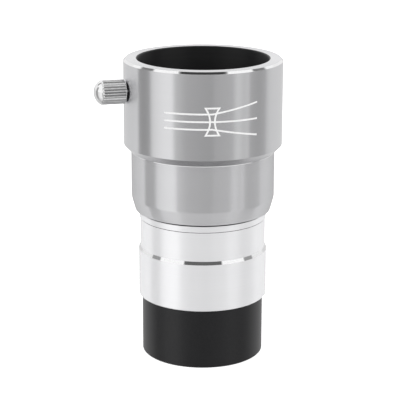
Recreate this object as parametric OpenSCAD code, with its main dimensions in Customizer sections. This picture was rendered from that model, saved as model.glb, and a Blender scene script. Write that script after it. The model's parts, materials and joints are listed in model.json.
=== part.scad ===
// Barlow lens for 1.25-inch telescope focusers, in millimetres.
// It stands on the open end of its lens cell. +Z runs along the optical axis towards the
// eyepiece, the origin is the centre of the cell's bottom face, and the thumbscrew is on -X.
// Threads are drawn as plain cylinders with the clearance of the thread between them.

/* [Whole part] */
// Height from the bottom of the lens cell to the rim of the eyepiece socket
total_h = 74.1; // [73:0.1:78]
// Radius of the light path through the nosepiece
light_r = 13.6; // [12.8:0.1:13.8]

/* [Eyepiece holder] */
// Outer radius of the holder
holder_r = 19.3; // [18.8:0.1:20.5]
// Height of the holder, with both of its chamfers
holder_h = 22.65; // [21:0.05:25]
// Radius of the socket that takes a 1.25-inch eyepiece
socket_r = 15.95; // [15.9:0.01:16]
// Depth of the socket, from the rim to its stop ledge
socket_depth = 30.5; // [29:0.1:32]
// Chamfer round the mouth of the socket
mouth_chamfer = 0.25; // [0.1:0.05:0.5]
// Chamfer round the outside of the rim
rim_chamfer = 0.5; // [0.2:0.05:1]

/* [Neck] */
// Outer radius of the neck
neck_r = 17.53; // [17.4:0.01:18]
// Height of the neck below the holder, without its spigot
neck_h = 14.7; // [14:0.05:16]
// Outer radius at the bottom of the neck's taper
neck_foot_r = 16.6; // [16:0.05:17]
// Height of the taper
neck_taper_h = 3.4; // [3:0.1:5]
// Bulge of the taper, where 0 is a straight cone
taper_bulge = 0.1; // [0:0.02:0.6]
// Nominal radius of the thread between the holder and the neck
neck_thread_r = 17; // [16.8:0.05:17.1]
// Length of the thread between the holder and the neck
neck_thread_h = 5.9; // [4:0.1:7]

/* [Nosepiece] */
// Radius of the nosepiece, the standard 1.25-inch plug
nose_r = 15.85; // [15.8:0.01:15.88]
// Radius of the undercut that a focuser's screw locks behind
undercut_r = 15.43; // [15:0.01:15.6]
// Height of the undercut
undercut_h = 7.05; // [6:0.05:8]
// Radius of the band above the undercut
band_r = 15.6; // [15.5:0.01:15.8]
// Distance from the neck to the bottom of the band
band_h = 2.05; // [1.2:0.05:2.4]
// Nominal radius of the thread between the neck and the nosepiece
nose_thread_r = 15; // [14.8:0.05:15.1]
// Length of the thread between the neck and the nosepiece
nose_thread_h = 5; // [4:0.1:6]

/* [Lens cell] */
// Outer radius of the lens cell
cell_r = 15; // [14.9:0.05:15.4]
// Height of the lens cell below the nosepiece
cell_h = 14.9; // [14.5:0.1:16]
// Radius of the filter thread at the bottom of the cell
filter_r = 14; // [13.9:0.05:14.2]
// Depth of the filter thread
filter_depth = 4.2; // [3:0.1:4.4]
// Nominal radius of the thread between the cell and the nosepiece
cell_thread_r = 14.25; // [14.2:0.05:14.4]
// Length of the cell's threaded spigot
cell_thread_h = 4; // [3:0.1:5]

/* [Lenses] */
// Radius of both glass elements
lens_r = 11; // [10.5:0.1:11.2]
// Radius of curvature of both faces of the crown element
crown_curve_r = 31.8; // [28:0.1:36]
// Thickness of the crown element at its centre
crown_centre = 1.5; // [1.2:0.1:2]
// Radius of curvature of the flint element's upper face
flint_curve_r = 198; // [150:1:250]
// Thickness of the flint element at its edge
flint_edge = 1.95; // [1.6:0.05:2.2]
// Clear radius of the seat and of the retaining ring
clear_r = 10.2; // [9.5:0.1:10.3]

/* [Rings] */
// Nominal radius of the retaining ring's thread
ring_r = 12; // [11.8:0.1:12.4]
// Thickness of the retaining ring
ring_h = 2; // [1.5:0.1:2.2]
// Clear radius of the glare stop
stop_clear_r = 12; // [11.5:0.1:12.4]
// Thickness of the glare stop
stop_h = 2; // [1.5:0.1:2.4]

/* [Thumbscrew] */
// Height of the thumbscrew's axis below the rim
screw_drop = 7.3; // [6:0.1:9]
// Radius of the threaded stud
stud_r = 1.45; // [1.2:0.05:1.95]
// Radius over the points of the head's knurl
head_r = 2.95; // [2.6:0.01:3.4]
// Length of the knurled part of the head
knurl_len = 5.85; // [5:0.05:7]
// Length of the domed end of the head
dome_len = 1.65; // [1.4:0.05:2.6]
// Number of knurl teeth
knurl_teeth = 26; // [20:1:36]
// Gap between the head and the holder at rest
head_gap = 0.15; // [0.15:0.05:1]

/* [Hidden] */
$fn = 128;

// Clearances
thread_gap = 0.05;    // between the two sides of a thread
seat_gap = 0.02;      // between pieces on different moving bodies
recess_gap = 0.08;    // between the band's radius and the recess in the neck above it
glue_gap = 0.02;      // the cement between the two glasses
cut = 1;              // how far a cutting solid runs past the face it cuts

// Edge breaks
small_break = 0.2;
fine_break = 0.1;
neck_chamfer = 0.15;
cell_break = 0.3;

// Heights of the joints between the pieces
holder_bottom_z = total_h - holder_h;
neck_bottom_z = holder_bottom_z - neck_h;
neck_top_z = holder_bottom_z + neck_thread_h;
ledge_z = total_h - socket_depth;
nose_shoulder_z = neck_bottom_z + 0.25;
nose_top_z = neck_bottom_z + nose_thread_h;
screw_z = total_h - screw_drop;

// Nosepiece
band_bottom_z = neck_bottom_z - band_h;
relief_h = 0.55;      // height of the relief between the neck and the band
band_top_z = neck_bottom_z - relief_h;
groove_h = 0.2;       // the fine groove below the band
groove_r = 15.2;      // the bottom of that groove, and of the relief above the band
undercut_bottom_z = band_bottom_z - groove_h - undercut_h;
nose_slope_h = 0.8;   // height of the polished slope below the undercut
nose_bottom_z = cell_h + seat_gap;
nose_recess_z = nose_bottom_z + cell_thread_h + 0.4;
stop_seat_z = nose_top_z - 3.4;
stop_seat_r = light_r - 0.7;

// Lens cell, from the filter thread upwards
ring_bottom_z = filter_depth + 0.8;
lens_bottom_z = ring_bottom_z + ring_h + seat_gap;
crown_sag = sag(crown_curve_r, lens_r);
flint_sag = sag(flint_curve_r, lens_r);
crown_edge = crown_centre + 2 * crown_sag;
crown_top_z = lens_bottom_z + crown_edge;
flint_top_z = crown_top_z + glue_gap + flint_edge;
seat_z = flint_top_z + seat_gap;
seat_h = 1.2;
cell_top_z = cell_h + cell_thread_h;
cell_top_bore_r = 12.6;

// Thumbscrew
hole_r = stud_r + thread_gap;
stud_tip_r = socket_r + 0.03;      // the tip's distance from the optical axis at rest
head_inner_r = holder_r + head_gap;
stud_in_head = 4;
spanner_slot_w = 1.2;
spanner_slot_h = 0.8;
knurl_depth = 0.26;

// How deep a spherical face of this radius is at a distance r from its axis
function sag(curve_r, r) = curve_r - sqrt(pow(curve_r, 2) - pow(r, 2));

// Radius of the neck's taper at a share s of its height
function taper_r(s) =
    neck_foot_r + (neck_r - neck_foot_r) * ((1 + taper_bulge) * s - taper_bulge * pow(s, 2));

// A turned piece, from its outline as [radius, height] points
module turned(outline) rotate_extrude() polygon(outline);

// Two slots across the face of a ring, for a spanner
module spanner_slots(reach)
    translate([-reach, -spanner_slot_w / 2, 0]) cube([2 * reach, spanner_slot_w, spanner_slot_h]);

// Puts a shape drawn along +Z onto the thumbscrew's axis, pointing outwards along -X
module on_screw_axis(from_r) translate([-from_r, 0, screw_z]) rotate([0, -90, 0]) children();

// Collar with the eyepiece socket, screwed onto the neck
module eyepiece_holder() color("silver") difference() {
    foot_r = neck_r + 0.02;
    turned([
        [neck_thread_r, holder_bottom_z],
        [foot_r, holder_bottom_z],
        [holder_r, holder_bottom_z + holder_r - foot_r],
        [holder_r, total_h - rim_chamfer],
        [holder_r - rim_chamfer, total_h],
        [socket_r + mouth_chamfer, total_h],
        [socket_r, total_h - mouth_chamfer],
        [socket_r, neck_top_z],
        [neck_thread_r, neck_top_z]
    ]);
    on_screw_axis(socket_r - cut) cylinder(r = hole_r, h = holder_r - socket_r + 2 * cut, $fn = 48);
}

// Neck with the lower half of the socket and the ledge that stops the eyepiece
module body_neck() color("silver") {
    turned([
        [nose_thread_r, ledge_z],
        [nose_thread_r, nose_shoulder_z],
        [band_r + recess_gap, nose_shoulder_z],
        [band_r + recess_gap, neck_bottom_z],
        [neck_foot_r - fine_break, neck_bottom_z],
        [neck_foot_r, neck_bottom_z + fine_break],
        for (s = [0.25 : 0.25 : 1]) [taper_r(s), neck_bottom_z + s * neck_taper_h],
        [neck_r, holder_bottom_z - neck_chamfer],
        [neck_r - neck_chamfer, holder_bottom_z],
        [neck_thread_r - thread_gap, holder_bottom_z],
        [neck_thread_r - thread_gap, neck_top_z],
        [socket_r, neck_top_z],
        [socket_r, ledge_z]
    ]);
}

// Plated 1.25-inch barrel with its safety undercut
module nosepiece_barrel() color("gainsboro") {
    slope_bottom_z = undercut_bottom_z - nose_slope_h;
    turned([
        [cell_thread_r, nose_bottom_z],
        [nose_r - small_break, nose_bottom_z],
        [nose_r, nose_bottom_z + small_break],
        [nose_r, slope_bottom_z],
        [undercut_r, undercut_bottom_z],
        [undercut_r, band_bottom_z - groove_h],
        [groove_r, band_bottom_z - groove_h / 2],
        [band_r - fine_break, band_bottom_z],
        [band_r, band_bottom_z + fine_break],
        [band_r, band_top_z - fine_break],
        [band_r - fine_break, band_top_z],
        [groove_r, band_top_z],
        [groove_r, nose_shoulder_z],
        [nose_thread_r - thread_gap, nose_shoulder_z],
        [nose_thread_r - thread_gap, nose_top_z],
        [light_r, nose_top_z],
        [light_r, stop_seat_z],
        [stop_seat_r, stop_seat_z],
        [stop_seat_r, stop_seat_z - stop_h / 2],
        [light_r, stop_seat_z - stop_h / 2 - (light_r - stop_seat_r)],
        [light_r, nose_recess_z],
        [cell_thread_r, nose_recess_z]
    ]);
}

// Blackened ring that stops stray light, held against a step inside the nosepiece
module glare_stop() color("dimgray") difference() {
    outer_r = light_r - seat_gap;
    lip_h = 0.5;
    turned([
        [stop_clear_r, stop_seat_z],
        [outer_r, stop_seat_z],
        [outer_r, stop_seat_z + stop_h],
        [stop_clear_r + stop_h - lip_h, stop_seat_z + stop_h],
        [stop_clear_r, stop_seat_z + lip_h]
    ]);
    translate([0, 0, stop_seat_z + stop_h - spanner_slot_h]) spanner_slots(holder_r);
}

// Black cell that holds the glass, with a filter thread at its open end
module lens_cell() color("dimgray") {
    lens_bore_r = lens_r + seat_gap;
    turned([
        [filter_r + small_break, 0],
        [cell_r - cell_break, 0],
        [cell_r, cell_break],
        [cell_r, cell_h - small_break],
        [cell_r - small_break, cell_h],
        [cell_thread_r - thread_gap, cell_h],
        [cell_thread_r - thread_gap, cell_top_z - small_break],
        [cell_thread_r - thread_gap - small_break, cell_top_z],
        [cell_top_bore_r, cell_top_z],
        [cell_top_bore_r, seat_z + seat_h],
        [clear_r, seat_z + seat_h],
        [clear_r, seat_z],
        [lens_bore_r, seat_z],
        [lens_bore_r, lens_bottom_z],
        [ring_r, lens_bottom_z],
        [ring_r, filter_depth],
        [filter_r, filter_depth],
        [filter_r, small_break]
    ]);
}

// Threaded ring with two spanner slots that holds the glass in the cell
module lens_retaining_ring() color("dimgray") difference() {
    turned([
        [clear_r + small_break, ring_bottom_z],
        [ring_r - seat_gap, ring_bottom_z],
        [ring_r - seat_gap, ring_bottom_z + ring_h],
        [clear_r, ring_bottom_z + ring_h],
        [clear_r, ring_bottom_z + small_break]
    ]);
    translate([0, 0, ring_bottom_z]) spanner_slots(holder_r);
}

// Crown glass, hollow on both faces, towards the telescope
module crown_element() color("lightblue") difference() {
    translate([0, 0, lens_bottom_z]) cylinder(r = lens_r, h = crown_edge);
    translate([0, 0, lens_bottom_z + crown_sag - crown_curve_r]) sphere(r = crown_curve_r);
    translate([0, 0, crown_top_z - crown_sag + crown_curve_r]) sphere(r = crown_curve_r);
}

// Flint glass, cemented into the crown's upper hollow. Its slight upper hollow is an arc of steps
module flint_element() color("lightcyan") intersection() {
    arc_steps = 12;
    bottom_z = crown_top_z - crown_sag;
    hollow_z = flint_top_z - flint_sag;
    turned([
        [0, bottom_z],
        [lens_r, bottom_z],
        for (i = [arc_steps : -1 : 0])
            let (r = lens_r * i / arc_steps) [r, hollow_z + sag(flint_curve_r, r)]
    ]);
    translate([0, 0, bottom_z + crown_curve_r]) sphere(r = crown_curve_r - glue_gap);
}

// Threaded stud that presses on the eyepiece's barrel
module thumbscrew_stud() color("silver") on_screw_axis(stud_tip_r) {
    tip_break = 0.3;
    stud_len = head_inner_r - stud_tip_r + stud_in_head;
    cylinder(r1 = stud_r - tip_break, r2 = stud_r, h = tip_break, $fn = 48);
    translate([0, 0, tip_break]) cylinder(r = stud_r, h = stud_len - tip_break, $fn = 48);
}

// Knurled head with a domed end
module thumbscrew_head() color("gainsboro") on_screw_axis(head_inner_r) difference() {
    knurl_root_r = head_r - knurl_depth;
    shoulder_r = knurl_root_r - 0.05;
    shoulder_len = 0.1;
    dome_base_r = head_r - 0.05;
    dome_sphere_r = (pow(dome_base_r, 2) + pow(dome_len, 2)) / (2 * dome_len);
    union() {
        cylinder(r = shoulder_r, h = knurl_len, $fn = 48);
        translate([0, 0, shoulder_len]) linear_extrude(height = knurl_len - shoulder_len)
            knurl_outline(knurl_root_r);
        intersection() {
            translate([0, 0, knurl_len + dome_len - dome_sphere_r]) sphere(r = dome_sphere_r);
            translate([0, 0, knurl_len]) cylinder(r = head_r, h = dome_len + cut);
        }
    }
    translate([0, 0, -cut]) cylinder(r = stud_r + seat_gap, h = stud_in_head + seat_gap + cut, $fn = 48);
}

// Outline of a straight knurl: one point at each tooth's tip and one in each groove
module knurl_outline(root_r) polygon([
    for (i = [0 : 2 * knurl_teeth - 1])
        let (a = i * 180 / knurl_teeth, r = i % 2 == 0 ? head_r : root_r) [r * cos(a), r * sin(a)]
]);

eyepiece_holder();
body_neck();
nosepiece_barrel();
glare_stop();
lens_cell();
lens_retaining_ring();
crown_element();
flint_element();
thumbscrew_stud();
thumbscrew_head();
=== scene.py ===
"""Looks of the barlow lens: turned and plated metal, black anodising, coated glass and a knurled screw.

Lengths in the outlines are millimetres, and MM turns them into Blender's metres.
"""
import json
import math

import bpy
import bmesh
from mathutils import Euler, Matrix, Quaternion, Vector


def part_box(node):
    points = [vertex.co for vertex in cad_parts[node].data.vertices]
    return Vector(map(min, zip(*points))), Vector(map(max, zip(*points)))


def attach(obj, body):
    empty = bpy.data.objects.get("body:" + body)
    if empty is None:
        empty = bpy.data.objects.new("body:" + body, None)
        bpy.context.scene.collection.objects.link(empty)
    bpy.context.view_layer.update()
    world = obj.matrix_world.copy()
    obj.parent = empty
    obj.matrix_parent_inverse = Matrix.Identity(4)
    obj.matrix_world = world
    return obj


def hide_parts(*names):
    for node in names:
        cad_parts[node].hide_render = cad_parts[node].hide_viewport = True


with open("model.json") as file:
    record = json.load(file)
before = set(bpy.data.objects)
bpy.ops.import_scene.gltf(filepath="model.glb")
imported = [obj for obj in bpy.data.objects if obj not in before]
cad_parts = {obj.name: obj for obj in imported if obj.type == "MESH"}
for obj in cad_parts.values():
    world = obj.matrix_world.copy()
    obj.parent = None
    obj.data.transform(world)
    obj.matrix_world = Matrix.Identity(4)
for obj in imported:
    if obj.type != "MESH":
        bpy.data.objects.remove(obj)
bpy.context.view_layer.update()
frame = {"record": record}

MM = 0.001
TAU = 2 * math.pi
SEGMENTS = 192            # facets round a turned piece
LENS_BEVEL = 0.15         # width of the ground edge round each lens face, in mm
THREAD_ROWS = 8           # rows in each turn of a thread's relief
CELL_PITCH = 0.6          # of the cell's two outer threads, in mm
RING_PITCH = 0.5          # of the retaining ring's thread, in mm
STUD_PITCH = 0.5          # of the M3 thumbscrew, in mm
KNURL_DEPTH = 0.26        # in mm
VIEW_AZIMUTH = -15.5      # the camera's azimuth, in degrees, so that the thumbscrew points left


# ---------------------------------------------------------------- sizes from the frame

def levels(node):
    """Bottom, top and outer radius of a turned node, in mm."""
    low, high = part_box(node)
    return low.z / MM, high.z / MM, high.y / MM


mount_r = {m["name"]: m["dims"].get("r_mm") for m in frame["record"]["mounts"]}
HOLDER_Z0, RIM_Z, HOLDER_R = levels("eyepiece_holder")
NECK_Z0, NECK_TOP_Z, NECK_R = levels("body_neck")
NOSE_Z0, NOSE_TOP_Z, _ = levels("nosepiece_barrel")
CELL_Z0, CELL_TOP_Z, CELL_R = levels("lens_cell")
RING_Z0, RING_Z1, RING_R = levels("lens_retaining_ring")
STOP_Z0, STOP_Z1, STOP_R = levels("glare_stop")
CROWN_Z0, CROWN_Z1, LENS_R = levels("crown_element")
FLINT_Z1 = levels("flint_element")[1]
SOCKET_R = mount_r["eyepiece_socket"]
NOSE_R = mount_r["nosepiece"]
FILTER_R = mount_r["filter_thread"]
HEAD_LOW, HEAD_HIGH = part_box("thumbscrew_head")
STUD_LOW, STUD_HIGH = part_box("thumbscrew_stud")
SCREW_Z = (STUD_LOW.z + STUD_HIGH.z) / 2 / MM
STUD_R = (STUD_HIGH.z - STUD_LOW.z) / 2 / MM
HEAD_R = (HEAD_HIGH.z - HEAD_LOW.z) / 2 / MM


# ---------------------------------------------------------------- mesh tools
# An outline is a list of (r, z, fillet) corners that runs anticlockwise, with r to the right and z up.
# Rounding turns it into rows of (r, z, nr, nz, relief): a point, its normal, and None or a function
# relief(z, turn) that moves the surface in or out there, for a thread or a knurl.

def edge_normal(a, b):
    """Outward normal of the outline's edge from a to b."""
    dr, dz = b[0] - a[0], b[1] - a[1]
    length = math.hypot(dr, dz)
    return dz / length, -dr / length


def turned_by(n, angle):
    return (n[0] * math.cos(angle) - n[1] * math.sin(angle),
            n[0] * math.sin(angle) + n[1] * math.cos(angle))


def rounded(outline, steps=3):
    """Rounds each corner of a closed outline with an arc. Corners on the axis stay as they are."""
    rows = []
    for i, (r, z, fillet) in enumerate(outline):
        before, after = outline[i - 1], outline[(i + 1) % len(outline)]
        if r < 1e-9:
            edge = (before, (r, z)) if before[0] > 1e-9 else ((r, z), after)
            rows.append((0.0, z, 0.0, math.copysign(1, edge_normal(*edge)[1]), None))
            continue
        n0, n1 = edge_normal(before, (r, z)), edge_normal((r, z), after)
        turn = math.atan2(n0[0] * n1[1] - n0[1] * n1[0], n0[0] * n1[0] + n0[1] * n1[1])
        u, v = Vector((before[0] - r, before[1] - z)), Vector((after[0] - r, after[1] - z))
        slope = math.tan(abs(turn) / 2)
        reach = min(fillet * slope, 0.45 * u.length, 0.45 * v.length)
        radius = math.copysign(reach / slope, turn)
        start = Vector((r, z)) + u.normalized() * reach
        centre = start - Vector(n0) * radius
        for k in range(steps + 1):
            n = turned_by(n0, turn * k / steps)
            rows.append((centre.x + n[0] * radius, centre.y + n[1] * radius, *n, None))
    return rows


def with_relief(rows, radius, z0, z1, relief, spacing):
    """Splits the outline's upright run at this radius into fine rows that carry a relief from z0 to z1."""
    out = []
    for row, after in zip(rows, rows[1:] + rows[:1]):
        out.append(row)
        low, high = sorted((row[1], after[1]))
        if abs(row[0] - radius) > 0.01 or abs(after[0] - radius) > 0.01 or high - low < spacing:
            continue
        low, high = max(low, z0), min(high, z1)
        count = round((high - low) / spacing)
        heights = [low + (high - low) * k / count for k in range(count + 1)] if count > 0 else []
        if after[1] < row[1]:
            heights.reverse()
        out += [(radius, z, row[2], 0.0, relief)
                for z in heights if min(abs(z - row[1]), abs(z - after[1])) > 1e-4]
    return out


def thread(pitch, depth, side, z0, z1):
    """Relief of a 60 degree thread that fades out over half a turn at both ends."""
    crest, flank = 0.12, 0.76

    def relief(z, turn):
        share = abs((z / pitch - turn) % 1 - 0.5) * 2
        fade = min(1, max(0, min(z - z0, z1 - z) / (0.5 * pitch)))
        return -side * depth * fade * min(1, max(0, (share - crest) / flank))
    return relief


def knurl(teeth, depth, z0):
    """Relief of a straight knurl with narrow flats on its teeth, which slope up from z0."""
    crest, flank, slope = 0.15, 0.8, 0.25

    def relief(z, turn):
        share = abs((turn * teeth) % 1 - 0.5) * 2
        fade = min(1, max(0, (z - z0) / slope))
        return -depth * (1 - fade * (1 - min(1, max(0, (share - crest) / flank))))
    return relief


def lathe(name, rows, segments=SEGMENTS):
    """A closed turned mesh about the Z axis."""
    verts, rings = [], []
    for r, z, _, _, relief in rows:
        if r < 1e-6:
            rings.append([len(verts)])
            verts.append((0, 0, z * MM))
            continue
        rings.append(range(len(verts), len(verts) + segments))
        for j in range(segments):
            a = TAU * j / segments
            rr = r + (relief(z, j / segments) if relief else 0)
            verts.append((rr * math.cos(a) * MM, rr * math.sin(a) * MM, z * MM))
    faces = []
    for ring, nxt in zip(rings, rings[1:] + rings[:1]):
        for j in range(segments):
            k = (j + 1) % segments
            if len(ring) > 1 and len(nxt) > 1:
                faces.append((ring[j], ring[k], nxt[k], nxt[j]))
            elif len(nxt) > 1:
                faces.append((ring[0], nxt[k], nxt[j]))
            elif len(ring) > 1:
                faces.append((ring[j], ring[k], nxt[0]))
    mesh = bpy.data.meshes.new(name)
    mesh.from_pydata(verts, [], faces)
    obj = bpy.data.objects.new(name, mesh)
    bpy.context.scene.collection.objects.link(obj)
    return obj


def key_of(co):
    return round(math.hypot(co[0], co[1]) / MM, 3), round(co[2] / MM, 3)


def polish_normals(obj, rows, sharp_deg=35):
    """Gives a turned mesh the exact normals of its outline. Threads and cut faces keep their own."""
    mesh = obj.data
    table = {}
    for r, z, nr, nz, relief in rows:
        if relief is None:
            table.setdefault((round(r, 3), round(z, 3)), []).append((nr, nz))
    mesh.polygons.foreach_set("use_smooth", [True] * len(mesh.polygons))
    mesh.set_sharp_from_angle(angle=math.radians(sharp_deg))
    base = [tuple(n.vector) for n in mesh.corner_normals]
    normals = list(base)
    for poly in mesh.polygons:
        for loop in poly.loop_indices:
            co = mesh.vertices[mesh.loops[loop].vertex_index].co
            r = math.hypot(co.x, co.y)
            if r < 1e-7:
                continue
            radial = Vector((co.x / r, co.y / r, 0))
            best = None
            for nr, nz in table.get(key_of(co), ()):
                n = radial * nr + Vector((0, 0, nz))
                if best is None or n.dot(poly.normal) > best.dot(poly.normal):
                    best = n
            if best is not None and best.dot(poly.normal) > 0.75:
                normals[loop] = tuple(best)
    mesh.normals_split_custom_set(normals)
    return obj


def cut(obj, *cutters):
    """Cuts closed meshes out of obj for good, and deletes them."""
    for cutter in cutters:
        modifier = obj.modifiers.new("cut", "BOOLEAN")
        modifier.operation, modifier.solver, modifier.object = "DIFFERENCE", "EXACT", cutter
    bpy.context.view_layer.update()
    done = bpy.data.meshes.new_from_object(obj.evaluated_get(bpy.context.evaluated_depsgraph_get()))
    obj.modifiers.clear()
    old, obj.data = obj.data, done
    done.name = obj.name
    bpy.data.meshes.remove(old)
    for cutter in cutters:
        bpy.data.objects.remove(cutter)
    return obj


def block(name, size, centre):
    """A closed box, used only to cut with."""
    mesh = bpy.data.meshes.new(name)
    bm = bmesh.new()
    bmesh.ops.create_cube(bm, size=1.0)
    for v in bm.verts:
        v.co = Vector([(c + s * x) * MM for c, s, x in zip(centre, size, v.co)])
    bm.to_mesh(mesh)
    bm.free()
    obj = bpy.data.objects.new(name, mesh)
    bpy.context.scene.collection.objects.link(obj)
    return obj


def on_screw_axis(obj):
    """Turns a mesh drawn along +Z from the optical axis outwards onto the thumbscrew's axis, along -X."""
    turn = Euler((0, -math.pi / 2, 0)).to_matrix().to_4x4()
    obj.data.transform(Matrix.Translation((0, 0, SCREW_Z * MM)) @ turn)
    return obj


def paint(obj, *materials, where=None):
    """Assigns the materials. where(r, z, nr, nz) picks a face's slot from its middle (mm) and its normal."""
    for material in materials:
        obj.data.materials.append(material)
    if where:
        for poly in obj.data.polygons:
            c, n = poly.center, poly.normal
            r = math.hypot(c.x, c.y)
            nr = (n.x * c.x + n.y * c.y) / r if r > 1e-9 else 0
            poly.material_index = where(r / MM, c.z / MM, nr, n.z)
    return obj


def fit_out(obj, body, node):
    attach(obj, body)
    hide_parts(node)
    return obj


# ---------------------------------------------------------------- materials

FINE_LINES = 2500                 # scales of the turning marks' noise, per metre
BROAD_LINES = FINE_LINES / 12


def new_material(name):
    material = bpy.data.materials.new(name)
    material.use_nodes = True
    tree = material.node_tree
    return material, tree, tree.nodes["Principled BSDF"]


def math_node(tree, operation, a, b=None):
    node = tree.nodes.new("ShaderNodeMath")
    node.operation = operation
    for socket, value in zip(node.inputs, (a, b)):
        if value is None:
            continue
        if isinstance(value, (int, float)):
            socket.default_value = value
        else:
            tree.links.new(value, socket)
    return node.outputs[0]


def hypotenuse(tree, a, b):
    squares = [math_node(tree, "MULTIPLY", side, side) for side in (a, b)]
    return math_node(tree, "SQRT", math_node(tree, "ADD", *squares))


def object_xyz(tree):
    """The object coordinate's three outputs, in metres."""
    place = tree.nodes.new("ShaderNodeTexCoord")
    split = tree.nodes.new("ShaderNodeSeparateXYZ")
    tree.links.new(place.outputs["Object"], split.inputs[0])
    return split.outputs


def turning_coordinate(tree):
    """r + z, in metres: constant along the marks that a lathe tool leaves on any turned face."""
    x, y, z = object_xyz(tree)
    return math_node(tree, "ADD", hypotenuse(tree, x, y), z)


def solid_noise(tree, scale, detail=2.0):
    """Noise through the object's volume."""
    place = tree.nodes.new("ShaderNodeTexCoord")
    noise = tree.nodes.new("ShaderNodeTexNoise")
    noise.inputs["Scale"].default_value = scale
    noise.inputs["Detail"].default_value = detail
    tree.links.new(place.outputs["Object"], noise.inputs["Vector"])
    return noise.outputs["Fac"]


def bumped(tree, shader, height, strength, distance):
    lift = tree.nodes.new("ShaderNodeBump")
    lift.inputs["Strength"].default_value = strength
    lift.inputs["Distance"].default_value = distance
    tree.links.new(height, lift.inputs["Height"])
    tree.links.new(lift.outputs[0], shader.inputs["Normal"])


def line_noise(tree, coordinate, scale, detail=3.0):
    """Noise that changes only along one coordinate, like fine turning marks."""
    noise = tree.nodes.new("ShaderNodeTexNoise")
    noise.noise_dimensions = "1D"
    noise.inputs["Scale"].default_value = scale
    noise.inputs["Detail"].default_value = detail
    tree.links.new(coordinate, noise.inputs["W"])
    return noise.outputs["Fac"]


def ramp(tree, factor, stops, interpolation="LINEAR"):
    """Colour ramp. Each stop is (position, grey or colour)."""
    node = tree.nodes.new("ShaderNodeValToRGB")
    node.color_ramp.interpolation = interpolation
    elements = node.color_ramp.elements
    while len(elements) < len(stops):
        elements.new(0.5)
    for element, (position, colour) in zip(elements, stops):
        element.position = position
        element.color = (*([colour] * 3 if isinstance(colour, (int, float)) else colour), 1)
    tree.links.new(factor, node.inputs[0])
    return node.outputs[0]


def turned_metal(name, dark, light, metallic, roughness, anisotropy, bump, edge_tint=1.0):
    """Metal with fine turning marks round its axis, whose gloss spreads along the axis. edge_tint dims it
    where it is seen at a glancing angle."""
    material, tree, shader = new_material(name)
    coordinate = turning_coordinate(tree)
    fine = math_node(tree, "MULTIPLY", line_noise(tree, coordinate, FINE_LINES), 0.6)
    broad = math_node(tree, "MULTIPLY", line_noise(tree, coordinate, BROAD_LINES, 2), 0.4)
    marks = math_node(tree, "ADD", fine, broad)
    tree.links.new(ramp(tree, marks, [(0.3, dark), (0.7, light)]), shader.inputs["Base Color"])
    spread = tree.nodes.new("ShaderNodeTangent")
    spread.direction_type, spread.axis = "RADIAL", "Z"
    tree.links.new(spread.outputs[0], shader.inputs["Tangent"])
    bumped(tree, shader, marks, bump, 2e-6)
    shader.inputs["Metallic"].default_value = metallic
    shader.inputs["Roughness"].default_value = roughness
    shader.inputs["Anisotropic"].default_value = anisotropy
    shader.inputs["Anisotropic Rotation"].default_value = 0.25
    shader.inputs["Specular Tint"].default_value = (edge_tint, edge_tint, edge_tint, 1)
    return material


def speckled(name, dark, light, metallic, roughness_low, roughness_high, scale, bump=0.15, specular=0.5):
    """A fine-grained finish, such as anodising or plating: colour, roughness and bump follow one noise."""
    material, tree, shader = new_material(name)
    grain = solid_noise(tree, scale, detail=4)
    tree.links.new(ramp(tree, grain, [(0.35, dark), (0.65, light)]), shader.inputs["Base Color"])
    rough = tree.nodes.new("ShaderNodeMapRange")
    rough.inputs["To Min"].default_value = roughness_low
    rough.inputs["To Max"].default_value = roughness_high
    tree.links.new(grain, rough.inputs["Value"])
    tree.links.new(rough.outputs[0], shader.inputs["Roughness"])
    bumped(tree, shader, grain, bump, 5e-6)
    shader.inputs["Metallic"].default_value = metallic
    shader.inputs["Specular IOR Level"].default_value = specular
    return material


def coated_glass(name, tint, ior):
    """Clear glass whose anti-reflection coating tints what it reflects."""
    material, tree, shader = new_material(name)
    colour = ramp(tree, solid_noise(tree, 90), [(0.3, (0.95, 0.99, 0.97)), (0.7, (0.97, 1, 0.99))])
    tree.links.new(colour, shader.inputs["Base Color"])
    shader.inputs["Roughness"].default_value = 0.01
    shader.inputs["IOR"].default_value = ior
    shader.inputs["Transmission Weight"].default_value = 1.0
    shader.inputs["Specular Tint"].default_value = (*tint, 1)
    return material


def knurled_metal(name, groove_shade, edge, root_r, tip_r):
    """Plating on the thumbscrew, with painted shade: its colour is dark in the bottom of the knurl's grooves
    and bright on the tips.
    """
    material, tree, shader = new_material(name)
    _, y, z = object_xyz(tree)
    # Painted shade: the colour darkens from the teeth's tips to the groove bottoms, with some random
    # unevenness added.
    radius = hypotenuse(tree, y, math_node(tree, "SUBTRACT", z, SCREW_Z * MM))
    depth = tree.nodes.new("ShaderNodeMapRange")
    depth.inputs["From Min"].default_value = root_r * MM
    depth.inputs["From Max"].default_value = tip_r * MM
    tree.links.new(radius, depth.inputs["Value"])
    uneven = math_node(tree, "MULTIPLY", math_node(tree, "SUBTRACT", solid_noise(tree, 2500), 0.5), 0.3)
    shade_and_grain = math_node(tree, "ADD", depth.outputs[0], uneven)
    colour = ramp(tree, shade_and_grain, [(0.0, groove_shade), (0.35, groove_shade), (1.0, edge)])
    tree.links.new(colour, shader.inputs["Base Color"])
    shader.inputs["Metallic"].default_value = 1.0
    shader.inputs["Roughness"].default_value = 0.22
    return material


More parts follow.
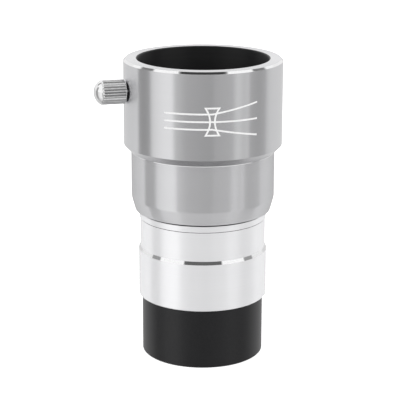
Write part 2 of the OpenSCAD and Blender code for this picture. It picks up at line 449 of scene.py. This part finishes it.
SILVER = turned_metal(
    "turned_aluminium", (0.77, 0.77, 0.785), (0.79, 0.79, 0.805),
    metallic=1.0, roughness=0.245, anisotropy=0.83, bump=0.03)
NECK_SILVER = turned_metal(
    "satin_aluminium", (0.715, 0.715, 0.73), (0.735, 0.735, 0.75),
    metallic=0.8, roughness=0.2, anisotropy=0.3, bump=0.03, edge_tint=0.7)
CHROME = turned_metal(
    "satin_chrome", (0.92, 0.92, 0.935), (0.94, 0.94, 0.955),
    metallic=0.5, roughness=0.27, anisotropy=0.3, bump=0.03)
# Black paint of the bores; the nosepiece also uses it as painted shade in its groove and relief gap.
BLACK_BORE_AND_SHADE = turned_metal(
    "blackened_bore", (0.008, 0.008, 0.009), (0.014, 0.014, 0.015),
    metallic=0.0, roughness=0.5, anisotropy=0.9, bump=0.1)
POLISHED = speckled(
    "polished_edge", (0.90, 0.90, 0.905), (0.96, 0.96, 0.965),
    metallic=1.0, roughness_low=0.04, roughness_high=0.07, scale=3000, bump=0.02)
BLACK = speckled(
    "black_anodising", (0.004, 0.004, 0.005), (0.008, 0.008, 0.009),
    metallic=0.0, roughness_low=0.3, roughness_high=0.4, scale=3000, bump=0.1, specular=0.46)
NICKEL = speckled(
    "nickel_plating", (0.90, 0.90, 0.905), (0.95, 0.95, 0.955),
    metallic=1.0, roughness_low=0.06, roughness_high=0.10, scale=2500, bump=0.03)
PAINT = speckled(
    "white_marking", (0.80, 0.80, 0.80), (0.90, 0.90, 0.90),
    metallic=0.0, roughness_low=0.5, roughness_high=0.7, scale=4000, bump=0.1)
# The knurl's plating, with painted shade in its grooves.
KNURL = knurled_metal(
    "knurled_plating", (0.60, 0.60, 0.605), (0.97, 0.97, 0.975), root_r=HEAD_R - KNURL_DEPTH, tip_r=HEAD_R)
GLASS_OUT = coated_glass("crown_glass", tint=(0.35, 0.95, 0.6), ior=1.517)
GLASS_IN = coated_glass("flint_glass", tint=(0.55, 0.6, 1.0), ior=1.648)


# ---------------------------------------------------------------- pieces

def eyepiece_holder():
    z0, top, r, foot_r, thread_r = HOLDER_Z0, RIM_Z, HOLDER_R - 0.01, 17.55, 17.0
    rim_chamfer, mouth_chamfer = 0.5, 0.25
    rows = rounded([
        (thread_r, z0, 0.05), (foot_r, z0, 0.06), (r, z0 + r - foot_r, 0.12),
        (r, top - rim_chamfer, 0.05), (r - rim_chamfer, top, 0.05),
        (SOCKET_R + mouth_chamfer, top, 0.04), (SOCKET_R, top - mouth_chamfer, 0.05),
        (SOCKET_R, NECK_TOP_Z, 0.02), (thread_r, NECK_TOP_Z, 0.02),
    ])
    drill_r, near, far = STUD_R + 0.05, 14, 25
    drill_rows = rounded([(0, near, 0), (drill_r, near, 0.01), (drill_r, far, 0.01), (0, far, 0)])
    drill = lathe("drill", drill_rows, 48)
    obj = cut(lathe("holder_shell", rows), on_screw_axis(drill))
    polish_normals(obj, rows)

    def finish_of(rr, z, nr, nz):
        if nr < -0.3 or (rr < SOCKET_R + mouth_chamfer - 0.01 and nz > 0.3):
            return 1
        return 2 if nz > 0.5 and nr > 0.3 else 0

    paint(obj, SILVER, BLACK_BORE_AND_SHADE, POLISHED, where=finish_of)
    return fit_out(obj, "tube", "eyepiece_holder")


def body_neck():
    z0, top, r, shoulder_z = NECK_Z0, NECK_TOP_Z, NECK_R - 0.005, HOLDER_Z0
    foot_r, taper_h, bulge = 16.6, 3.4, 0.1
    socket_depth = 30.5
    ledge_z = RIM_Z - socket_depth
    nose_thread_r, holder_thread_r = 15.0, 16.95
    seat_r, seat_z = 15.68, NECK_Z0 + 0.25
    taper = [(foot_r + (r - foot_r) * ((1 + bulge) * s - bulge * s * s), z0 + taper_h * s, 1.5)
             for s in (0.2, 0.4, 0.6, 0.8)]
    rows = rounded([
        (nose_thread_r, ledge_z, 0.03), (nose_thread_r, seat_z, 0.03),
        (seat_r, seat_z, 0.02), (seat_r, z0, 0.03),
        (foot_r - 0.06, z0, 0.05), (foot_r, z0 + 0.06, 0.05), *taper, (r, z0 + taper_h, 1.5),
        (r, shoulder_z - 0.1, 0.3), (r - 0.033, shoulder_z, 0.02),
        (holder_thread_r, shoulder_z, 0.03), (holder_thread_r, top, 0.05),
        (SOCKET_R, top, 0.03), (SOCKET_R, ledge_z, 0.03),
    ])
    obj = lathe("neck_shell", rows)
    polish_normals(obj, rows)

    def finish_of(rr, z, nr, nz):
        if nr < -0.3 or (z > ledge_z - 0.1 and rr < SOCKET_R):
            return 1
        return 2 if nz > 0.1 and nr > 0.1 and rr > holder_thread_r + 0.01 else 0

    paint(obj, NECK_SILVER, BLACK_BORE_AND_SHADE, POLISHED, where=finish_of)
    return fit_out(obj, "tube", "body_neck")


def nosepiece_barrel():
    z0, top, r, band_r, under_r = NOSE_Z0, NOSE_TOP_Z, NOSE_R - 0.005, 15.6, 15.43
    relief_r, neck_thread_r = 15.2, 14.95
    shoulder_z, relief_z, band_z = NECK_Z0 + 0.25, NECK_Z0 - 0.55, NECK_Z0 - 2.05
    groove_r, under_z1, under_z0 = 15.34, band_z - 0.15, band_z - 7.25
    slope_z = under_z0 - 0.8
    light_r, seat_r, seat_z = 13.6, 12.9, STOP_Z0
    thread_r, thread_top = 14.25, NOSE_Z0 + 4.4
    rows = rounded([
        (thread_r, z0, 0.05), (r - 0.2, z0, 0.04), (r, z0 + 0.2, 0.05), (r, slope_z, 0.06),
        (under_r, under_z0, 0.06), (under_r, under_z1, 0.03), (groove_r, band_z - 0.07, 0.02),
        (band_r - 0.1, band_z, 0.03), (band_r, band_z + 0.1, 0.04),
        (band_r, relief_z, 0.06), (relief_r, relief_z, 0.05), (relief_r, shoulder_z, 0.03),
        (neck_thread_r, shoulder_z, 0.03), (neck_thread_r, top, 0.1), (light_r, top, 0.06),
        (light_r, seat_z, 0.03), (seat_r, seat_z, 0.05), (seat_r, seat_z - 1, 0.05),
        (light_r, seat_z - 1.7, 0.05), (light_r, thread_top, 0.05), (thread_r, thread_top, 0.05),
    ])
    ridges = thread(CELL_PITCH, 0.3, -1, z0, thread_top)
    rows = with_relief(rows, thread_r, z0, thread_top, ridges, CELL_PITCH / THREAD_ROWS)
    obj = lathe("nosepiece_shell", rows)
    polish_normals(obj, rows)

    def finish_of(rr, z, nr, nz):
        # Painted shade: the groove below the band and the relief gap under the neck get the black slot, as
        # shade would darken them; the bore and threads get it as black paint.
        in_groove_shade = under_z1 < z < band_z
        in_relief_shade = z > relief_z + 0.02 or (rr < band_r - 0.05 and z > relief_z - 0.03)
        if nr < -0.3 or rr < neck_thread_r + 0.01 or in_groove_shade or in_relief_shade:
            return 1
        return 2 if slope_z < z < under_z0 and 0.1 < nz < 0.9 else 0

    paint(obj, CHROME, BLACK_BORE_AND_SHADE, POLISHED, where=finish_of)
    return fit_out(obj, "tube", "nosepiece_barrel")


SPANNER_SLOT = (40, 1.2, 1.6)     # cut across the face of both rings, with half of its height in the ring


def glare_stop():
    z0, top, r, clear_r, mouth_r, lip_h = STOP_Z0, STOP_Z1, STOP_R, 12.0, 13.5, 0.5
    rows = rounded([
        (clear_r, z0, 0.02), (r, z0, 0.05), (r, top, 0.08), (mouth_r, top, 0.05), (clear_r, z0 + lip_h, 0.04),
    ])
    obj = cut(lathe("glare_stop_ring", rows), block("slot", SPANNER_SLOT, (0, 0, top)))
    polish_normals(obj, rows)
    paint(obj, BLACK_BORE_AND_SHADE)
    return fit_out(obj, "tube", "glare_stop")


def lens_cell():
    z0, top, r, shoulder_z = CELL_Z0, CELL_TOP_Z, CELL_R - 0.005, CELL_TOP_Z - 4
    spigot_r, top_bore_r, clear_r, ring_r = 14.2, 12.6, 10.2, 12.0
    filter_top, seat_z, seat_top = 4.2, FLINT_Z1 + 0.02, FLINT_Z1 + 1.22
    rows = rounded([
        (FILTER_R + 0.2, z0, 0.05), (r - 0.3, z0, 0.25), (r, z0 + 0.3, 0.25), (r, shoulder_z - 0.2, 0.08),
        (r - 0.2, shoulder_z, 0.05), (spigot_r, shoulder_z, 0.03), (spigot_r, top - 0.2, 0.03),
        (spigot_r - 0.2, top, 0.04), (top_bore_r, top, 0.05), (top_bore_r, seat_top, 0.1),
        (clear_r, seat_top, 0.05), (clear_r, seat_z, 0.03), (LENS_R + 0.02, seat_z, 0.01),
        (LENS_R + 0.02, CROWN_Z0, 0.02), (ring_r, CROWN_Z0, 0.02), (ring_r, filter_top, 0.05),
        (FILTER_R, filter_top, 0.04), (FILTER_R, z0 + 0.2, 0.05),
    ])
    threads = [
        (spigot_r, shoulder_z, top, CELL_PITCH, thread(CELL_PITCH, 0.3, 1, shoulder_z, top - 0.2)),
        (FILTER_R, z0, filter_top, CELL_PITCH, thread(CELL_PITCH, 0.25, -1, z0 + 0.2, filter_top)),
        (ring_r, filter_top, CROWN_Z0, RING_PITCH, thread(RING_PITCH, 0.25, -1, filter_top, CROWN_Z0)),
    ]
    for at_r, low, high, pitch, ridges in threads:
        rows = with_relief(rows, at_r, low, high, ridges, pitch / THREAD_ROWS)
    obj = lathe("cell_housing_shell", rows)
    polish_normals(obj, rows)
    paint(obj, BLACK)
    return fit_out(obj, "cell_housing", "lens_cell")


def lens_retaining_ring():
    z0, top, r, clear_r, chamfer = RING_Z0, RING_Z1, RING_R, 10.2, 0.2
    rows = rounded([
        (clear_r + chamfer, z0, 0.05), (r, z0, 0.06), (r, top, 0.05),
        (clear_r, top, 0.03), (clear_r, z0 + chamfer, 0.05),
    ])
    obj = cut(lathe("retaining_ring_turned", rows), block("slot", SPANNER_SLOT, (0, 0, z0)))
    polish_normals(obj, rows)
    paint(obj, BLACK)
    return fit_out(obj, "cell_housing", "lens_retaining_ring")


def face_rows(curve_r, pole_z, bulge, outwards, steps=16):
    """Rows of a spherical lens face. bulge is +1 if its centre of curvature is above it; the lower
    face runs outwards from the axis and the upper face inwards."""
    rows = []
    for k in range(steps + 1):
        r = (LENS_R - LENS_BEVEL) * (k if outwards else steps - k) / steps
        rise = math.sqrt(curve_r ** 2 - r ** 2)
        side = -1 if outwards else 1
        nr, nz = -side * bulge * r / curve_r, side * rise / curve_r
        rows.append((r, pole_z + bulge * (curve_r - rise), nr, nz, None))
    return rows


def lens(name, lower, upper, node, material):
    """A lens between two spherical faces, each (radius of curvature, height of its pole, bulge)."""
    low, high = face_rows(*lower, outwards=True), face_rows(*upper, outwards=False)
    edge = [(LENS_R, z, 1.0, 0.0, None) for z in (low[-1][1] + LENS_BEVEL, high[0][1] - LENS_BEVEL)]
    rows = low + edge + high
    obj = lathe(name, rows)
    polish_normals(obj, rows)
    paint(obj, material)
    return fit_out(obj, "lens_doublet", node)


def lenses():
    curve_r, back_r, cement = 31.8, 198.0, 0.02
    sag = curve_r - math.sqrt(curve_r ** 2 - LENS_R ** 2)
    back_sag = back_r - math.sqrt(back_r ** 2 - LENS_R ** 2)
    lens("crown_glass_element", (curve_r, CROWN_Z0 + sag, -1), (curve_r, CROWN_Z1 - sag, 1),
         "crown_element", GLASS_OUT)
    lens("flint_glass_element", (curve_r, CROWN_Z1 - sag + cement, 1), (back_r, FLINT_Z1 - back_sag, 1),
         "flint_element", GLASS_IN)


def thumbscrew_stud():
    tip, end, tip_break, run_out = -STUD_HIGH.x / MM, -STUD_LOW.x / MM, 0.3, 1.5
    rows = rounded([
        (0, tip, 0), (STUD_R - tip_break, tip, 0.05), (STUD_R, tip + tip_break, 0.05),
        (STUD_R, end, 0.02), (0, end, 0),
    ])
    ridges = thread(STUD_PITCH, 0.27, 1, tip + tip_break, end - run_out)
    rows = with_relief(rows, STUD_R, tip, end, ridges, STUD_PITCH / THREAD_ROWS)
    obj = lathe("stud_threaded", rows, 64)
    polish_normals(obj, rows)
    paint(on_screw_axis(obj), NICKEL)
    return fit_out(obj, "screw_stud", "thumbscrew_stud")


def thumbscrew_head():
    inner, end = -HEAD_HIGH.x / MM, -HEAD_LOW.x / MM
    dome_len, teeth, run_in, run_out = 1.65, 26, 0.1, 0.4
    shoulder_z, knurl_end, hole_end = end - dome_len, end - dome_len - run_out, inner + 4.02
    shoulder_r, base_r, hole_r = HEAD_R - KNURL_DEPTH - 0.05, HEAD_R - 0.03, STUD_R + 0.02
    dome_r = (base_r ** 2 + dome_len ** 2) / (2 * dome_len)
    dome_steps = 12
    dome = []
    for k in range(dome_steps + 1):
        a = math.asin(base_r / dome_r) * (1 - k / dome_steps)
        nr, nz = math.sin(a), math.cos(a)
        dome.append((dome_r * nr, end - dome_r + dome_r * nz, nr, nz, None))
    rows = rounded([
        (hole_r, inner, 0.02), (shoulder_r, inner, 0.05), (HEAD_R, inner + run_in, 0.0),
        (HEAD_R, shoulder_z, 0.0), (0, end, 0), (0, hole_end, 0), (hole_r, hole_end, 0.02),
    ])
    cap = next(i for i, row in enumerate(rows) if row[0] < 1e-6)
    rows = rows[:cap] + dome + rows[cap + 1:]
    rows = with_relief(rows, HEAD_R, inner, knurl_end, knurl(teeth, KNURL_DEPTH, inner), 0.12)
    obj = lathe("knurled_head", rows, teeth * 8)
    polish_normals(obj, rows, sharp_deg=50)

    def finish_of(rr, z, nr, nz):
        # Slot 1 is the knurl's plating, with painted shade in its grooves.
        return 1 if inner + run_in < z < knurl_end and rr > (hole_r + HEAD_R) / 2 else 0

    paint(obj, NICKEL, KNURL, where=finish_of)
    on_screw_axis(obj)
    return fit_out(obj, "screw_head", "thumbscrew_head")


def ribbon(path, closed, width):
    """Left and right sides of a stroke along a path of (s, z) points, mitred at its corners."""
    sides = []
    for i, point in enumerate(path):
        before = path[i - 1] if closed or i > 0 else None
        after = path[(i + 1) % len(path)] if closed or i + 1 < len(path) else None
        normals = [Vector(edge_normal(a, b)) for a, b in ((before, point), (point, after)) if a and b]
        across = sum(normals, Vector((0, 0))).normalized()
        across *= width / 2 / max(0.4, across.dot(normals[0]))
        sides.append((Vector(point) - across, Vector(point) + across))
    return sides


def straight(start, end, step=0.4):
    """Points from start to end, close enough together to bend round the holder."""
    count = max(1, round(math.dist(start, end) / step))
    return [tuple(Vector(start).lerp(Vector(end), k / count)) for k in range(count + 1)]


def lens_symbol():
    """White marking on the holder: a hollow lens on its axis, with two rays that it spreads."""
    half_h, waist, edge, line = 3.2, 0.55, 1.6, 0.4
    reach, ray_in, ray_out = 11.5, 1.8, 3.9
    middle_s, middle_z = 2.2, RIM_Z - 11.6
    inner_r, outer_r = HOLDER_R - 0.05, HOLDER_R - 0.002
    curve_steps = 12
    side = [(waist + (edge - waist) * (2 * k / curve_steps - 1) ** 2, half_h * (2 * k / curve_steps - 1))
            for k in range(curve_steps + 1)]
    top, bottom = straight((edge, half_h), (-edge, half_h)), straight((-edge, -half_h), (edge, -half_h))
    outline = side + top[1:-1] + [(-s, -z) for s, z in side] + bottom[1:-1]
    paths = [(outline, True), (straight((-reach, 0), (reach, 0)), False)]
    for up in (1, -1):
        bend = (0, up * ray_in)
        ray = straight((-reach, up * ray_in), bend) + straight(bend, (reach, up * ray_out))[1:]
        paths.append((ray, False))
    verts, faces = [], []
    for layer, (path, closed) in enumerate(paths):
        first, face_r = len(verts), outer_r - 0.0005 * layer
        for pair in ribbon(path, closed, line):
            for (s, z), r in ((pair[0], inner_r), (pair[1], inner_r), (pair[1], face_r), (pair[0], face_r)):
                a = math.radians(VIEW_AZIMUTH) + (middle_s + s) / HOLDER_R
                verts.append((r * math.sin(a) * MM, -r * math.cos(a) * MM, (middle_z + z) * MM))
        rings = [range(k, k + 4) for k in range(first, len(verts), 4)]
        following = rings[1:] + rings[:1] if closed else rings[1:]
        for ring, nxt in zip(rings, following):
            faces += [(ring[j], ring[(j + 1) % 4], nxt[(j + 1) % 4], nxt[j]) for j in range(4)]
        if not closed:
            faces += [tuple(reversed(rings[0])), tuple(rings[-1])]
    mesh = bpy.data.meshes.new("lens_symbol")
    mesh.from_pydata(verts, [], faces)
    obj = bpy.data.objects.new("lens_symbol", mesh)
    bpy.context.scene.collection.objects.link(obj)
    bm = bmesh.new()
    bm.from_mesh(mesh)
    bmesh.ops.recalc_face_normals(bm, faces=bm.faces)
    bm.to_mesh(mesh)
    bm.free()
    paint(obj, PAINT)
    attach(obj, "tube")


# ---------------------------------------------------------------- stage, light and camera

TARGET = Vector((0, 0, 38.48 * MM))
AIM_SIDE = -0.67 * MM          # the camera looks this far to its left of the optical axis
CAMERA_DISTANCE = 372.5 * MM
CAMERA_ELEVATION = 15.7
CAMERA_ROLL = 0.17             # degrees


def camera():
    azimuth, elevation = math.radians(VIEW_AZIMUTH), math.radians(CAMERA_ELEVATION)
    back = Vector((math.sin(azimuth) * math.cos(elevation), -math.cos(azimuth) * math.cos(elevation),
                   math.sin(elevation)))
    right = Vector((math.cos(azimuth), math.sin(azimuth), 0))
    data = bpy.data.cameras.new("camera")
    data.sensor_width, data.lens = 36, 135.8
    data.clip_start, data.clip_end = 0.01, 20
    data.dof.use_dof = False
    obj = bpy.data.objects.new("camera", data)
    bpy.context.scene.collection.objects.link(obj)
    place = TARGET + back * CAMERA_DISTANCE
    obj.location = place
    level = (TARGET + right * AIM_SIDE - place).to_track_quat("-Z", "Y")
    obj.rotation_euler = (level @ Quaternion((0, 0, 1), math.radians(CAMERA_ROLL))).to_euler()
    bpy.context.scene.camera = obj


def floor():
    mesh = bpy.data.meshes.new("floor")
    half = 1.5
    corners = [(-half, -half, 0), (half, -half, 0), (half, half, 0), (-half, half, 0)]
    mesh.from_pydata(corners, [], [(0, 1, 2, 3)])
    obj = bpy.data.objects.new("floor", mesh)
    bpy.context.scene.collection.objects.link(obj)
    material, tree, shader = new_material("pale_floor")
    shader.inputs["Base Color"].default_value = (0.9, 0.9, 0.9, 1)
    shader.inputs["Roughness"].default_value = 0.9
    shader.inputs["Specular IOR Level"].default_value = 0.1
    shader.inputs["Emission Color"].default_value = (1, 1, 1, 1)
    shader.inputs["Emission Strength"].default_value = 0.85
    mesh.materials.append(material)
    obj.visible_glossy = False


# What the part's surfaces reflect, as (azimuth from the camera in degrees, brightness): below eye level, just
# above it, high up and overhead. A soft box stands on each side of the camera, with a dark flag outside it.
ROOM_LOW = [
    (-180, 0.70), (-119, 0.70), (-107, 0.80), (-106, 0.34), (-95, 0.34), (-81, 0.37), (-80, 0.74),
    (-60, 0.90), (-43, 0.95), (-42, 0.56), (-29, 0.46), (-24, 0.40), (-12, 0.38), (13, 0.33), (17, 0.41),
    (44, 0.44), (45.5, 0.57), (52, 0.69), (61, 0.53), (69, 0.69), (70, 0.40), (82, 0.38), (102, 0.46),
    (103, 0.60), (116, 0.70), (180, 0.70),
]
ROOM_MID = [
    (-180, 0.90), (-104, 0.84), (-102, 0.33), (-85, 0.33), (-83, 1.0), (82, 1.0), (84, 0.33), (101, 0.33),
    (103, 0.84), (180, 0.90),
]
ROOM_HIGH = [
    (-180, 1.0), (-127, 0.95), (-124, 0.22), (-111, 0.22), (-109, 1.0), (-37, 1.0), (-35, 0.13), (37, 0.13),
    (39, 1.0), (109, 1.0), (111, 0.22), (124, 0.22), (127, 0.95), (180, 1.0),
]
ROOM_TOP = [(-180, 0.85), (-110, 0.85), (-90, 0.05), (90, 0.05), (110, 0.85), (180, 0.85)]


def studio():
    """Soft light all round: a pale room, two soft boxes beside the camera, dark flags, and a white table."""
    world = bpy.data.worlds.new("studio")
    bpy.context.scene.world = world
    world.use_nodes = True
    tree = world.node_tree
    background = tree.nodes["Background"]
    place = tree.nodes.new("ShaderNodeTexCoord")
    turn = tree.nodes.new("ShaderNodeMapping")
    turn.vector_type = "VECTOR"
    turn.inputs["Rotation"].default_value = (0, 0, -math.radians(VIEW_AZIMUTH))
    tree.links.new(place.outputs["Generated"], turn.inputs["Vector"])
    split = tree.nodes.new("ShaderNodeSeparateXYZ")
    tree.links.new(turn.outputs[0], split.inputs[0])
    x, y, z = split.outputs
    azimuth = math_node(tree, "ARCTAN2", x, math_node(tree, "MULTIPLY", y, -1))
    share = math_node(tree, "ADD", math_node(tree, "DIVIDE", azimuth, TAU), 0.5)
    height = math_node(tree, "ADD", math_node(tree, "MULTIPLY", z, 0.5), 0.5)

    def around(room):
        return ramp(tree, share, [(0.5 + degrees / 360, level) for degrees, level in room])

    def at(elevation):
        return 0.5 + 0.5 * math.sin(math.radians(elevation))

    def mixed(factor, a, b):
        node = tree.nodes.new("ShaderNodeMix")
        node.data_type = "RGBA"
        tree.links.new(factor, node.inputs["Factor"])
        for socket, value in (("A", a), ("B", b)):
            if isinstance(value, float):
                node.inputs[socket].default_value = (value, value, value, 1)
            else:
                tree.links.new(value, node.inputs[socket])
        return node.outputs["Result"]

    def rising(low, high):
        return ramp(tree, height, [(at(low), 0.0), (at(high), 1.0)])

    below = ramp(tree, height, [(0.0, 0.20), (at(-68), 0.20), (at(-55), 0.55), (at(-38), 0.60)])
    room = mixed(rising(2, 5), around(ROOM_LOW), around(ROOM_MID))
    room = mixed(rising(26.5, 28.5), room, around(ROOM_HIGH))
    room = mixed(rising(68.5, 70), room, around(ROOM_TOP))
    seen = ramp(tree, height, [(at(-60), 0.0), (at(-52), 0.4), (at(-39), 0.4), (at(-35), 1.0)])
    room = mixed(seen, below, room)
    sight = tree.nodes.new("ShaderNodeLightPath")
    tree.links.new(mixed(sight.outputs["Is Camera Ray"], room, 1.0), background.inputs["Color"])
    background.inputs["Strength"].default_value = 1.0


bpy.context.scene.view_settings.view_transform = "Standard"
camera()
floor()
studio()
eyepiece_holder()
body_neck()
nosepiece_barrel()
glare_stop()
lens_cell()
lens_retaining_ring()
lenses()
thumbscrew_stud()
thumbscrew_head()
lens_symbol()
